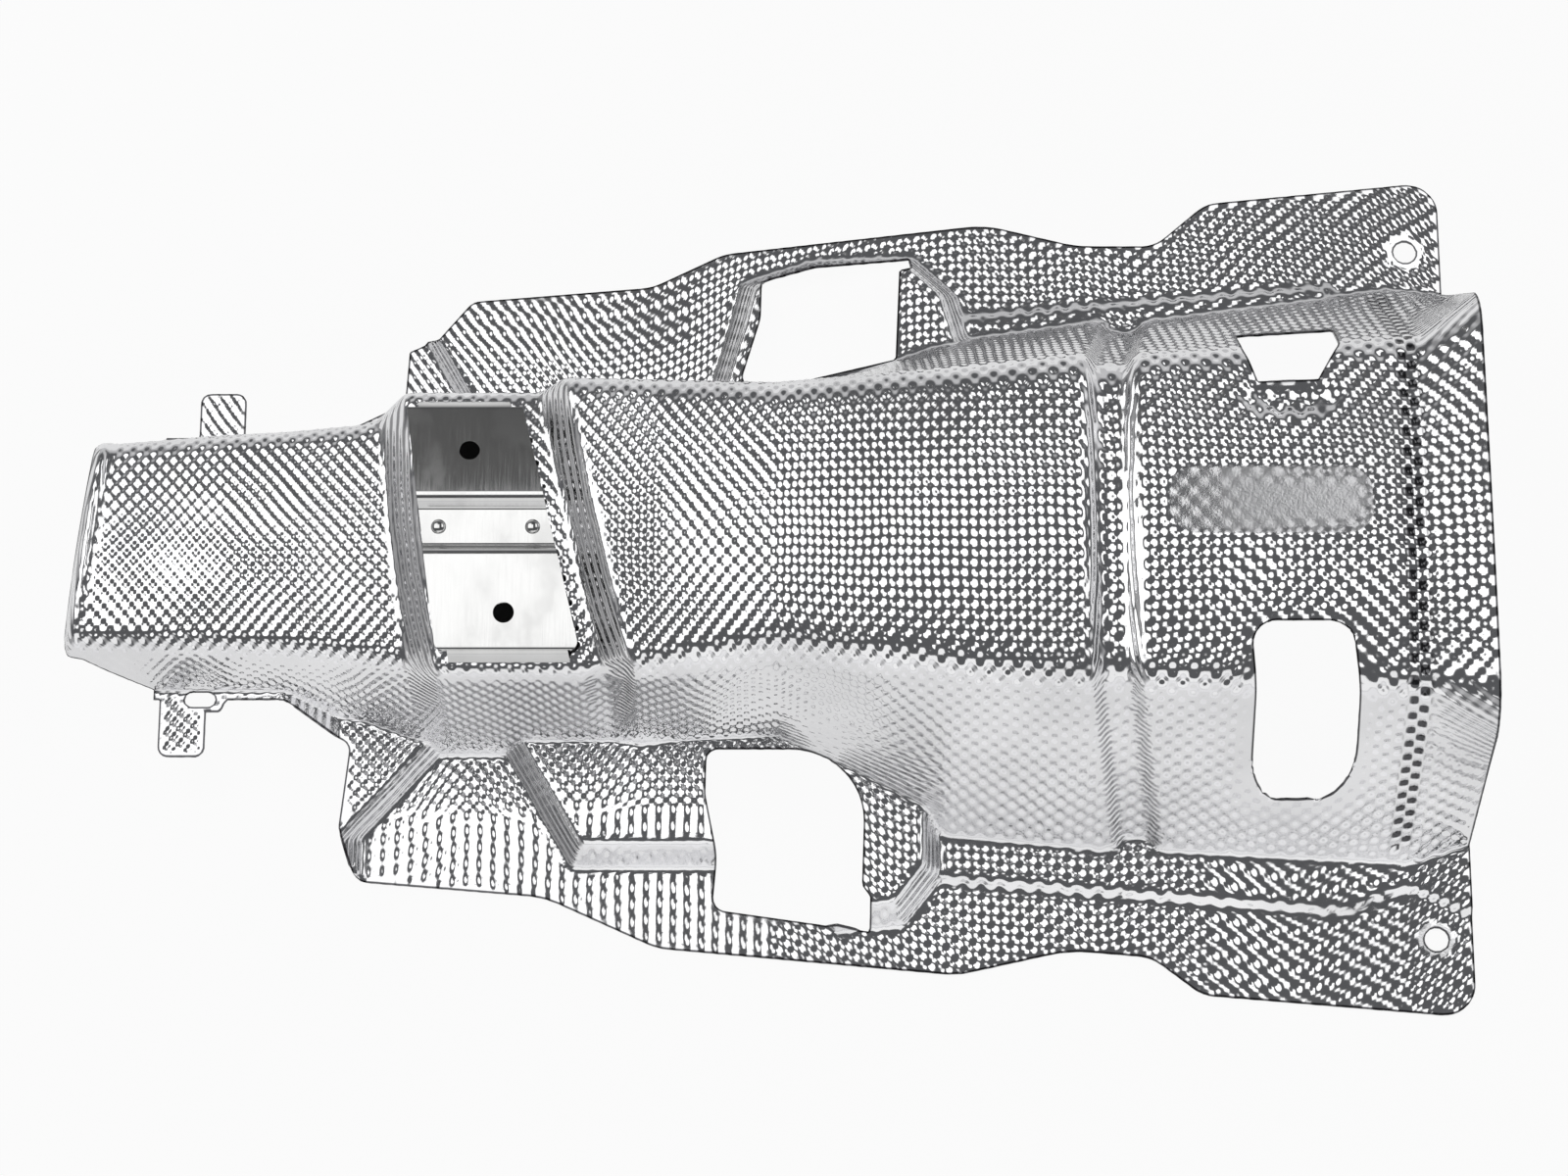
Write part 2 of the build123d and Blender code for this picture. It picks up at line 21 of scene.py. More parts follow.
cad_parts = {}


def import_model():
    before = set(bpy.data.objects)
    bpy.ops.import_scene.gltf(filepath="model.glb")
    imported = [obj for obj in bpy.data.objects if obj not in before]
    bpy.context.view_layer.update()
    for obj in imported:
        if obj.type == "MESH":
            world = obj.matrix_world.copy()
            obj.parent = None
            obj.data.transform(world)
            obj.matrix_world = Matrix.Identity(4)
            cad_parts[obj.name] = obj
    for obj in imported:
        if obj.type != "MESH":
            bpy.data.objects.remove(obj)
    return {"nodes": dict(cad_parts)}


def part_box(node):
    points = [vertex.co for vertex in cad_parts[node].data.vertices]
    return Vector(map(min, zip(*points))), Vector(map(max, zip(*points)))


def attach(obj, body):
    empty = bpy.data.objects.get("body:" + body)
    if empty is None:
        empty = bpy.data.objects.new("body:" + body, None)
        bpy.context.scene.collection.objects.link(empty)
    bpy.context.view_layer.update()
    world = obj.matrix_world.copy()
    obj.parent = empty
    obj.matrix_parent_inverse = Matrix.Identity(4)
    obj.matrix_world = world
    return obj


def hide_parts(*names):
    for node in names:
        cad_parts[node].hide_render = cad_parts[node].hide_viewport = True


LOG = logging.getLogger("heat_shield")
MM = 0.001
BODY = "root"
FINISH_GROUP = "rolled_finish"
UP = Vector((0.0, 0.0, 1.0))
DOWN = Vector((0.0, 0.0, -1.0))
Colour = tuple[float, float, float, float]
Span = tuple[float, float]
Triple = tuple[float, float, float]
BLACK: Colour = (0.0, 0.0, 0.0, 1.0)


class Node(str, Enum):
    """CAD nodes of the part."""

    PANEL = "shield_panel"
    BRACKET = "mounting_bracket"
    RIVETS = "rivets"


class Slot(str, Enum):
    """Material slots of the record."""

    SHEET = "sheet"
    BRACKET = "bracket"
    RIVET = "rivet"


class Layer(str, Enum):
    """Vertex layers of the sheet."""

    LATTICE = "lattice"
    EDGE = "edge"
    STREAK = "streak"
    DRAWN = "drawn"
    CREASE = "crease"
    SOURCE = "source"


def link_object(name: str, data: bpy.types.ID) -> bpy.types.Object:
    """Makes an object and links it to the scene.

    Args:
        name: The object's name.
        data: Its finished mesh, or a camera.

    Returns:
        The new object.
    """
    piece = bpy.data.objects.new(name, data)
    bpy.context.scene.collection.objects.link(piece)
    return piece


def mesh_of(name: str, shape: bmesh.types.BMesh) -> bpy.types.Mesh:
    """Turns a bmesh into a mesh and frees it.

    Args:
        name: The mesh's name.
        shape: The finished bmesh.

    Returns:
        The new mesh.
    """
    mesh = bpy.data.meshes.new(name)
    shape.to_mesh(mesh)
    shape.free()
    return mesh


def level_panel(name: str, along: Span, across: Span, height: float) -> bpy.types.Object:
    """Makes a level rectangle for the stage.

    Args:
        name: The object's name.
        along: Its lower and upper end along X.
        across: Its lower and upper end along Y.
        height: Its Z.

    Returns:
        The new object.
    """
    shape = bmesh.new()
    bmesh.ops.create_grid(shape, x_segments=1, y_segments=1, size=0.5)
    bmesh.ops.scale(shape, verts=shape.verts, vec=(along[1] - along[0], across[1] - across[0], 1.0))
    middle = (sum(along) / 2.0, sum(across) / 2.0, height)
    bmesh.ops.translate(shape, verts=shape.verts, vec=middle)
    return link_object(name, mesh_of(name, shape))


def apart_from(shape: bmesh.types.BMesh, held: set[bmesh.types.BMVert]) -> list[bmesh.types.BMVert]:
    """Lists the vertices that are neither in a set nor next to a vertex of it."""
    near = held.union(edge.other_vert(vertex) for vertex in held for edge in vertex.link_edges)
    return [vertex for vertex in shape.verts if vertex not in near]


def tree_of(node: bpy.types.Object) -> BVHTree:
    """Makes a ray-casting tree of a CAD node's mesh.

    Args:
        node: The CAD node's object, which sits at the origin.

    Returns:
        The tree, in metres in the row frame.
    """
    places = [vertex.co.copy() for vertex in node.data.vertices]
    faces = [tuple(face.vertices) for face in node.data.polygons]
    return BVHTree.FromPolygons(places, faces)


def ease(low: float, high: float, value: float | np.ndarray) -> float | np.ndarray:
    """Rises smoothly from 0 where a value is at low to 1 where it is at high."""
    share = np.clip((value - low) / (high - low), 0.0, 1.0)
    return share * share * (3.0 - 2.0 * share)


def between(span: Span, share: float | np.ndarray) -> float | np.ndarray:
    """Goes from a span's first value at a share of 0 to its second at 1."""
    return span[0] + (span[1] - span[0]) * share


@dataclass
class NodeTree:
    """A short way to wire shader nodes."""

    tree: bpy.types.NodeTree

    @classmethod
    def of_material(cls, material: bpy.types.Material) -> NodeTree:
        """Clears a material's nodes and returns its tree, ready to wire."""
        material.use_nodes = True
        material.node_tree.nodes.clear()
        return cls(material.node_tree)

    @classmethod
    def of_panel(cls, panel: bpy.types.Object, name: str) -> NodeTree:
        """Gives a panel of the stage a new material, and returns the material's tree, ready to wire."""
        material = bpy.data.materials.new(name)
        panel.data.materials.append(material)
        return cls.of_material(material)

    def add(self, kind: str, **settings: object) -> bpy.types.Node:
        """Adds a node and sets its attributes.

        Args:
            kind: The node's type name.
            settings: Attributes of the node.

        Returns:
            The new node.
        """
        node = self.tree.nodes.new(kind)
        for name, value in settings.items():
            setattr(node, name, value)
        return node

    def feed(self, socket: bpy.types.NodeSocket, value: object) -> None:
        """Links a socket to an input, or sets it to a plain value."""
        if isinstance(value, bpy.types.NodeSocket):
            self.tree.links.new(value, socket)
        else:
            socket.default_value = value

    def math(self, operation: str, *values: object) -> bpy.types.NodeSocket:
        """Adds a math node.

        Args:
            operation: The node's operation.
            values: Numbers or sockets for its inputs.

        Returns:
            Its output socket.
        """
        node = self.add("ShaderNodeMath", operation=operation)
        for socket, value in zip(node.inputs, values):
            self.feed(socket, value)
        return node.outputs[0]

    def product(self, *values: object) -> bpy.types.NodeSocket:
        """Multiplies any number of values.

        Args:
            values: Numbers or sockets, two or more.

        Returns:
            The socket of their product.
        """
        result = values[0]
        for value in values[1:]:
            result = self.math("MULTIPLY", result, value)
        return result

    def ramp(
        self, value: object, low: object, high: object, start: float = 0.0, end: float = 1.0
    ) -> bpy.types.NodeSocket:
        """Maps a value smoothly from the range low to high onto start to end.

        Args:
            value: A number or socket.
            low: Lower end of the range, a number or socket.
            high: Upper end of the range, a number or socket.
            start: Result at the lower end.
            end: Result at the upper end.

        Returns:
            The result's socket.
        """
        node = self.add("ShaderNodeMapRange", interpolation_type="SMOOTHSTEP")
        self.feed(node.inputs["Value"], value)
        for name, number in (("From Min", low), ("From Max", high), ("To Min", start), ("To Max", end)):
            self.feed(node.inputs[name], number)
        return node.outputs["Result"]

    def window(self, value: object, span: Span, soft: float) -> bpy.types.NodeSocket:
        """Gives 1 inside a span and 0 outside it, with soft ends.

        Args:
            value: A number or socket.
            span: Lower and upper end.
            soft: Length of each soft end, inside the span.

        Returns:
            The mask's socket.
        """
        rise = self.ramp(value, span[0], span[0] + soft)
        fall = self.ramp(value, span[1] - soft, span[1], 1.0, 0.0)
        return self.math("MULTIPLY", rise, fall)

    def rounded(
        self, place: tuple[object, object], spans: tuple[Span, Span], corner: float, soft: float
    ) -> bpy.types.NodeSocket:
        """Gives 1 inside a rectangle with rounded corners and 0 outside it.

        Args:
            place: Sockets of the two coordinates.
            spans: Lower and upper end of each.
            corner: Radius of the corners.
            soft: Width of the soft edge, inside the rectangle.

        Returns:
            The mask's socket.
        """
        squares = []
        for value, (low, high) in zip(place, spans):
            off = self.math("ABSOLUTE", self.math("SUBTRACT", value, (low + high) / 2.0))
            over = self.math("MAXIMUM", self.math("SUBTRACT", off, (high - low) / 2.0 - corner), 0.0)
            squares.append(self.math("MULTIPLY", over, over))
        away = self.math("SQRT", self.math("ADD", *squares))
        return self.ramp(away, corner - soft, corner, 1.0, 0.0)

    def mix(self, share: object, first: object, second: object) -> bpy.types.NodeSocket:
        """Mixes two colours.

        Args:
            share: How much of the second colour is taken.
            first: A colour or socket.
            second: A colour or socket.

        Returns:
            The mixed colour's socket.
        """
        node = self.add("ShaderNodeMix", data_type="RGBA")
        self.feed(node.inputs["Factor"], share)
        self.feed(node.inputs[6], first)
        self.feed(node.inputs[7], second)
        return node.outputs[2]

    def place(self) -> list[bpy.types.NodeSocket]:
        """Gives X, Y and Z of the shaded place in the row frame."""
        split = self.add("ShaderNodeSeparateXYZ")
        self.feed(split.inputs[0], self.add("ShaderNodeTexCoord").outputs["Object"])
        return list(split.outputs)

    def noise(self, scale: object, detail: object) -> bpy.types.NodeSocket:
        """Adds noise on the row frame.

        Args:
            scale: Scale along X, Y and Z, in waves a metre, as numbers or a socket.
            detail: The noise's detail, a number or socket.

        Returns:
            The noise's value, about 0.5 on average.
        """
        spread = self.add("ShaderNodeMapping")
        self.feed(spread.inputs["Scale"], scale)
        self.feed(spread.inputs["Vector"], self.add("ShaderNodeTexCoord").outputs["Object"])
        cloud = self.add("ShaderNodeTexNoise")
        self.feed(cloud.inputs["Vector"], spread.outputs[0])
        cloud.inputs["Scale"].default_value = 1.0
        self.feed(cloud.inputs["Detail"], detail)
        return cloud.outputs[0]

    def layer(self, layer: Layer) -> bpy.types.NodeSocket:
        """Reads a single number from a layer of the sheet."""
        return self.add("ShaderNodeAttribute", attribute_name=layer.value).outputs["Fac"]

    def metal(self) -> bpy.types.Node:
        """Adds the shader of a bare metal."""
        shader = self.add("ShaderNodeBsdfPrincipled")
        shader.inputs["Metallic"].default_value = 1.0
        return shader

    def bump(self, shader: bpy.types.Node, height: bpy.types.NodeSocket) -> None:
        """Feeds a height in metres to a shader's normal."""
        relief = self.add("ShaderNodeBump")
        relief.inputs["Strength"].default_value = 1.0
        relief.inputs["Distance"].default_value = 1.0
        self.feed(relief.inputs["Height"], height)
        self.feed(shader.inputs["Normal"], relief.outputs[0])

    def blend(self, share: bpy.types.NodeSocket, first: bpy.types.Node, second: bpy.types.Node) -> None:
        """Mixes two shaders and links the mix to a material output.

        Args:
            share: How much of the second shader is taken.
            first: A shader node.
            second: A shader node.
        """
        mix = self.add("ShaderNodeMixShader")
        for socket, value in zip(mix.inputs, (share, first.outputs[0], second.outputs[0])):
            self.feed(socket, value)
        self.close(mix)

    def close(self, shader: bpy.types.Node) -> None:
        """Links a shader to a material output."""
        self.feed(self.add("ShaderNodeOutputMaterial").inputs["Surface"], shader.outputs[0])


@dataclass
class PhotoCamera:
    """The camera that took the photograph, found from the part's own lines."""

    elevation_deg: float = 72.0
    distance: float = 1980.0 * MM
    aim: Triple = (5.5 * MM, 0.0, 0.0)
    focal_px: float = 4500.0
    image_width_px: float = 1600.0
    sensor_mm: float = 36.0
    clip_end: float = 50.0

    def build(self) -> None:
        """Adds the camera and makes it the scene's own."""
        data = bpy.data.cameras.new("photo_camera")
        data.sensor_fit = "HORIZONTAL"
        data.sensor_width = self.sensor_mm
        data.lens = self.focal_px / self.image_width_px * self.sensor_mm
        data.clip_end = self.clip_end
        camera = link_object("photo_camera", data)
        tilt = math.radians(self.elevation_deg)
        back = Vector((0.0, -math.cos(tilt), math.sin(tilt)))
        camera.location = Vector(self.aim) + back * self.distance
        camera.rotation_euler = (math.pi / 2 - tilt, 0.0, 0.0)
        bpy.context.scene.camera = camera


@dataclass(frozen=True)
class Softbox:
    """A large soft light, or a dim flag, that hangs over the part and faces the floor."""

    name: str
    along: Span
    across: Span
    height: float
    radiance: float
    soft: Span

    def build(self) -> None:
        """Adds the panel, which fades out towards its sides and which the camera doesn't see."""
        panel = level_panel(self.name, self.along, self.across, self.height)
        wire = NodeTree.of_panel(panel, self.name)
        x, y, _ = wire.place()
        cloth = wire.product(
            wire.window(x, self.along, self.soft[0]), wire.window(y, self.across, self.soft[1])
        )
        glow = wire.add("ShaderNodeEmission")
        glow.inputs["Strength"].default_value = self.radiance
        wire.blend(cloth, wire.add("ShaderNodeBsdfTransparent"), glow)
        panel.visible_camera = False


@dataclass
class Studio:
    """A white floor and horizon under a grey ceiling, soft lights, and a black card in the tunnel, which is
    painted shade.
    """

    floor_half: float = 6.0
    floor_drop: float = 0.6 * MM
    floor_white: Colour = (0.93, 0.93, 0.93, 1.0)
    floor_glow: float = 0.93
    mirrored_glow: float = 0.75
    # Painted shade: a black card standing in for the tunnel's own shade under the bracket's holes.
    painted_shade_black: Colour = (0.02, 0.02, 0.02, 1.0)
    card_along: Span = (-0.155, -0.090)
    card_across: Span = (-0.036, 0.060)
    card_height: float = 58.0 * MM
    ceiling: Colour = (0.105, 0.107, 0.112, 1.0)
    horizon: Colour = (0.92, 0.92, 0.93, 1.0)
    horizon_deg: Span = (14.0, 36.0)
    left_shade: float = 0.40
    left_from: Span = (-0.75, -0.25)
    far_shade: float = 0.65
    far_from: Span = (0.3, 0.8)
    softboxes: tuple[Softbox, ...] = (
        Softbox("left_softbox", (-1.20, -0.24), (-0.18, 0.95), 1.10, radiance=1.55, soft=(0.10, 0.15)),
        Softbox("middle_softbox", (-0.36, -0.01), (-0.16, 0.58), 1.11, radiance=1.55, soft=(0.08, 0.14)),
        Softbox("right_softbox", (0.32, 1.00), (0.03, 0.95), 1.10, radiance=1.45, soft=(0.08, 0.12)),
        Softbox("near_fill", (-0.90, 1.40), (-3.00, -0.82), 1.30, radiance=1.00, soft=(0.30, 0.20)),
        Softbox("far_flag", (-0.42, -0.08), (0.57, 0.88), 1.08, radiance=0.12, soft=(0.04, 0.04)),
    )

    def build(self) -> None:
        """Adds the floor, the black card of painted shade and the light."""
        self._floor()
        self._add_shade_card()
        self._world()
        for softbox in self.softboxes:
            softbox.build()

    def _floor(self) -> None:
        """Adds the floor, which shows white and keeps a soft shadow."""
        side = (-self.floor_half, self.floor_half)
        floor = level_panel("floor", side, side, -self.floor_drop)
        wire = NodeTree.of_panel(floor, "white_floor")
        rays = wire.add("ShaderNodeLightPath").outputs
        direct = wire.math("MAXIMUM", rays["Is Camera Ray"], rays["Is Transmission Ray"])
        seen = wire.math("MAXIMUM", direct, wire.product(rays["Is Glossy Ray"], self.mirrored_glow))
        matt = wire.add("ShaderNodeBsdfDiffuse")
        matt.inputs["Color"].default_value = self.floor_white
        wire.blend(wire.product(seen, self.floor_glow), matt, wire.add("ShaderNodeEmission"))

    def _add_shade_card(self) -> None:
        """Adds a black card inside the tunnel, painted shade that shows through the bracket's holes."""
        card = level_panel("painted_shade_card", self.card_along, self.card_across, self.card_height)
        wire = NodeTree.of_panel(card, "painted_shade_card")
        matt = wire.add("ShaderNodeBsdfDiffuse")
        matt.inputs["Color"].default_value = self.painted_shade_black
        wire.close(matt)

    def _world(self) -> None:
        """Paints the ceiling and the horizon by direction."""
        world = bpy.data.worlds.new("studio")
        bpy.context.scene.world = world
        world.use_nodes = True
        world.node_tree.nodes.clear()
        wire = NodeTree(world.node_tree)
        direction = wire.add("ShaderNodeSeparateXYZ")
        wire.feed(direction.inputs[0], wire.add("ShaderNodeTexCoord").outputs["Generated"])
        rise = wire.math("DEGREES", wire.math("ARCSINE", direction.outputs[2]))
        dim = wire.product(
            wire.ramp(direction.outputs[0], *self.left_from, self.left_shade, 1.0),
            wire.ramp(direction.outputs[1], *self.far_from, 1.0, self.far_shade),
        )
        low = wire.mix(dim, BLACK, self.horizon)
        sky = wire.mix(wire.ramp(rise, *self.horizon_deg), low, self.ceiling)
        background = wire.add("ShaderNodeBackground")
        wire.feed(background.inputs["Color"], sky)
        wire.feed(wire.add("ShaderNodeOutputWorld").inputs["Surface"], background.outputs[0])


@dataclass(frozen=True)
class Emboss:
    """The egg-box pattern that is rolled into the sheet, drawn out where the press stretched it."""

    along: Span = (3.05 * MM, 4.45 * MM)
    along_stretch: Span = (-40.0 * MM, 160.0 * MM)
    crown: Span = (3.45 * MM, 4.60 * MM)
    flange: Span = (3.60 * MM, 4.20 * MM)
    across_stretch: Span = (-220.0 * MM, 140.0 * MM)
    crown_reach: Span = (60.0 * MM, 110.0 * MM)
    depth_share: float = 0.20
    broad_tops: float = 0.2

    def pitch_along(self, x: float | np.ndarray) -> float | np.ndarray:
        """Pitch along the part at a place."""
        return between(self.along, ease(*self.along_stretch, x))

    def pitch_across(self, x: np.ndarray, reach: np.ndarray) -> np.ndarray:
        """Pitch across the sheet.

        Args:
            x: Places along the part.
            reach: Distances from the middle, measured along the sheet.

        Returns:
            The pitch at each place.
        """
        stretch = ease(*self.across_stretch, x)
        outward = ease(*self.crown_reach, np.abs(reach))
        return between((between(self.crown, stretch), between(self.flange, stretch)), outward)

    def depth(self, x: float) -> float:
        """Full depth of the pattern at a place along the part."""
        return float(self.pitch_along(x) * self.depth_share)

    def height(self, column: float, row: float, drawn: float) -> float:
        """Height, from 0 in a hollow to 1 on a top, at a place in pitches with tops drawn out by a share."""
        wave = math.cos(math.pi * column) * (drawn + (1.0 - drawn) * math.cos(math.pi * row))
        return (wave - self.broad_tops * wave * wave + 1.0 + self.broad_tops) / 2.0


@dataclass(frozen=True)
class PatternZone:
    """A rounded rectangle in plan, inside which the pattern differs from the rest of the sheet."""

    low: Span
    high: Span
    corner_r: float
    fade: float
    inside: float

    def share(self, x: float, y: float) -> float:
        """Share of the plain pattern that holds at a place.

        Args:
            x: Place along the part.
            y: Place across it.

        Returns:
            The zone's own share inside it, and 1 outside.
        """
        out_x = max(self.low[0] + self.corner_r - x, x - self.high[0] + self.corner_r, 0.0)
        out_y = max(self.low[1] + self.corner_r - y, y - self.high[1] + self.corner_r, 0.0)
        outside = math.hypot(out_x, out_y) - self.corner_r
        return between((self.inside, 1.0), float(ease(-self.fade, 0.0, outside)))


@dataclass(frozen=True)
class Dent:
    """A small hollow pressed into the sheet, oval in plan, with a level middle."""

    middle: Span
    reach: Span
    depth: float
    level_share: float = 0.35

    def fall(self, x: float, y: float) -> float:
        """How far the sheet is pressed in at a place in plan."""
        away = math.hypot((x - self.middle[0]) / self.reach[0], (y - self.middle[1]) / self.reach[1])
        return self.depth * float(ease(1.0, self.level_share, away))


@dataclass(frozen=True)
class RolledFinish:
    """Dull patches and grain of rolled metal: one node group, which each metal places with its own values."""

    patch_scale: Triple
    patch_detail: float
    patch_range: Span
    grain_scale: Triple
    grain_detail: float

    def place(self, wire: NodeTree) -> tuple[bpy.types.NodeSocket, bpy.types.NodeSocket]:
        """Places the group in a material.

        Args:
            wire: The material's tree.

        Returns:
            The mask of the dull patches, and the grain's value.
        """
        node = wire.add("ShaderNodeGroup", node_tree=self._group())
        low, high = self.patch_range
        values = (self.patch_scale, self.grain_scale, self.patch_detail, self.grain_detail, low, high)
        for socket, value in zip(node.inputs, values):
            socket.default_value = value
        return node.outputs["Patches"], node.outputs["Grain"]

    @staticmethod
    def _group() -> bpy.types.NodeTree:
        """Builds the group when it is first asked for, and gives the same one after that."""
        tree = bpy.data.node_groups.get(FINISH_GROUP)
        if tree is not None:
            return tree
        tree = bpy.data.node_groups.new(FINISH_GROUP, "ShaderNodeTree")
        for name in ("Patch Scale", "Grain Scale"):
            tree.interface.new_socket(name, in_out="INPUT", socket_type="NodeSocketVector")
        for name in ("Patch Detail", "Grain Detail", "Patch Low", "Patch High"):
            tree.interface.new_socket(name, in_out="INPUT", socket_type="NodeSocketFloat")
        for name in ("Patches", "Grain"):
            tree.interface.new_socket(name, in_out="OUTPUT", socket_type="NodeSocketFloat")
        wire = NodeTree(tree)
        given = wire.add("NodeGroupInput").outputs
        result = wire.add("NodeGroupOutput").inputs
        cloud = wire.noise(given["Patch Scale"], given["Patch Detail"])
        wire.feed(result["Patches"], wire.ramp(cloud, given["Patch Low"], given["Patch High"]))
        wire.feed(result["Grain"], wire.noise(given["Grain Scale"], given["Grain Detail"]))
        return tree


@dataclass(frozen=True)
class BrightAluminium:
    """Rolled, embossed aluminium sheet, with dull streaks and small scuffs, painted shade in the crease's
    hollows, and a painted dark line of shade along the cut edges.
    """

    emboss: Emboss
    rolled: RolledFinish = RolledFinish(
        patch_scale=(14.0, 22.0, 14.0),
        patch_detail=3.0,
        patch_range=(0.35, 0.7),
        grain_scale=(900.0, 900.0, 900.0),
        grain_detail=4.0,
    )
    colour: Colour = (0.86, 0.86, 0.87, 1.0)
    dull_colour: Colour = (0.76, 0.76, 0.77, 1.0)
    # Painted shade: colour of a dark line along the cut edges.
    edge_shade_colour: Colour = (0.07, 0.07, 0.075, 1.0)
    roughness: Span = (0.09, 0.15)
    edge_fade: Span = (0.48 * MM, 1.2 * MM)
    scuff_depth: float = 0.02 * MM
    plaque_along: Span = (0.169, 0.258)
    plaque_across: Span = (-0.010, 0.022)
    plaque_corner: float = 12.0 * MM
    plaque_soft: float = 1.5 * MM
    plaque_blend: Span = (0.165, 0.205)
    plaque_start: float = 0.6
    plaque_colour: Colour = (0.62, 0.62, 0.63, 1.0)
    plaque_roughness: float = 0.30
    plaque_grain: float = 0.16 * MM
    # Painted shade: colour of the hollows in the crease band.
    crease_shade_colour: Colour = (0.09, 0.09, 0.095, 1.0)
    crease_hollows: Span = (-0.35, 0.05)
    crease_fade: Span = (0.1, 0.6)
    streak_pitch: float = 3.0 * MM
    streak_depth: float = 0.34 * MM
    streak_drift: float = 3.0
    drift_scale: Triple = (60.0, 60.0, 60.0)
    drift_detail: float = 2.0

    def material(self) -> bpy.types.Material:
        """Builds the material.

        Returns:
            A metal whose pattern follows the sheet's own lattice.
        """
        material = bpy.data.materials.new("bright_aluminium")
        wire = NodeTree.of_material(material)
        shader = wire.metal()
        dull, grain = self.rolled.place(wire)
        plaque = self._plaque(wire)
        wave, depth = self._pattern(wire)
        grain_depth = wire.ramp(plaque, 0.0, 1.0, self.scuff_depth, self.plaque_grain)
        relief = wire.math("ADD", wire.product(wave, depth, 0.5), wire.product(grain, grain_depth))
        wire.bump(shader, wire.math("ADD", relief, self._streaks(wire)))
        body = wire.mix(plaque, wire.mix(dull, self.colour, self.dull_colour), self.plaque_colour)
        # Painted shade: the hollows of the pattern in the crease band are darkened in the base colour.
        crease = wire.ramp(wire.layer(Layer.CREASE), *self.crease_fade)
        hollow = wire.product(wire.ramp(wave, *self.crease_hollows, 1.0, 0.0), crease)
        body = wire.mix(hollow, body, self.crease_shade_colour)
        # Painted shade: the base colour goes dark within about a millimetre of the cut edges and on the
        # edges' own faces.
        rim = wire.ramp(wire.layer(Layer.EDGE), *self.edge_fade)
        wire.feed(shader.inputs["Base Color"], wire.mix(rim, self.edge_shade_colour, body))
        polish = wire.ramp(dull, 0.0, 1.0, *self.roughness)
        polish = wire.math("MAXIMUM", polish, wire.product(plaque, self.plaque_roughness))
        wire.feed(shader.inputs["Roughness"], polish)
        wire.close(shader)
        return material

    def _plaque(self, wire: NodeTree) -> bpy.types.NodeSocket:
        """Works out where the sheet has the plaque's duller finish.

        Args:
            wire: The material's tree.

        Returns:
            The mask, which is weaker at the plaque's near end.
        """
        x, y, _ = wire.place()
        spans = (self.plaque_along, self.plaque_across)
        mask = wire.rounded((x, y), spans, self.plaque_corner, self.plaque_soft)
        return wire.product(mask, wire.ramp(x, *self.plaque_blend, self.plaque_start, 1.0))

    def _streaks(self, wire: NodeTree) -> bpy.types.NodeSocket:
        """Works out the drawn lines that run level across the steps.

        Args:
            wire: The material's tree.

        Returns:
            Their height in metres.
        """
        drift = wire.product(wire.noise(self.drift_scale, self.drift_detail), self.streak_drift)
        turns = wire.math("ADD", wire.product(wire.place()[2], math.tau / self.streak_pitch), drift)
        return wire.product(wire.math("SINE", turns), wire.layer(Layer.STREAK), self.streak_depth / 2.0)

    def _pattern(self, wire: NodeTree) -> tuple[bpy.types.NodeSocket, bpy.types.NodeSocket]:
        """Works out the pattern from the sheet's lattice.

        Args:
            wire: The material's tree.

        Returns:
            The pattern's wave, from about -1 to 1, and its depth in metres.
        """
        lattice = wire.add("ShaderNodeSeparateXYZ")
        places = wire.add("ShaderNodeAttribute", attribute_name=Layer.LATTICE.value)
        wire.feed(lattice.inputs[0], places.outputs["Vector"])
        column, row, depth = lattice.outputs
        drawn = wire.layer(Layer.DRAWN)
        bumps = wire.product(
            wire.math("COSINE", wire.product(row, math.pi)), wire.math("SUBTRACT", 1.0, drawn)
        )
        ridges = wire.math("COSINE", wire.product(column, math.pi))
        wave = wire.product(ridges, wire.math("ADD", drawn, bumps))
        broad = wire.product(wave, wave, self.emboss.broad_tops)
        return wire.math("SUBTRACT", wave, broad), depth


@dataclass(frozen=True)
class BrightSteel:
    """Bright rolled steel, with fine lines along the strip."""

    name: str
    rolled: RolledFinish = RolledFinish(
        patch_scale=(45.0, 30.0, 45.0),
        patch_detail=4.0,
        patch_range=(0.4, 0.75),
        grain_scale=(1500.0, 60.0, 60.0),
        grain_detail=2.0,
    )
    colour: Colour = (0.65, 0.65, 0.645, 1.0)
    worn_colour: Colour = (0.58, 0.58, 0.575, 1.0)
    wear_range: Span = (0.3, 0.8)
    roughness: Span = (0.10, 0.17)
    line_depth: float = 0.0015 * MM

    def material(self) -> bpy.types.Material:
        """Builds the material.

        Returns:
            A metal with rolled lines and dull patches.
        """
        material = bpy.data.materials.new(self.name)
        wire = NodeTree.of_material(material)
        shader = wire.metal()
        worn, lines = self.rolled.place(wire)
        wire.feed(shader.inputs["Base Color"], wire.mix(worn, self.colour, self.worn_colour))
        wear = wire.math("MAXIMUM", worn, lines)
        wire.feed(shader.inputs["Roughness"], wire.ramp(wear, *self.wear_range, *self.roughness))
        wire.bump(shader, wire.product(lines, self.line_depth))
        wire.close(shader)
        return material


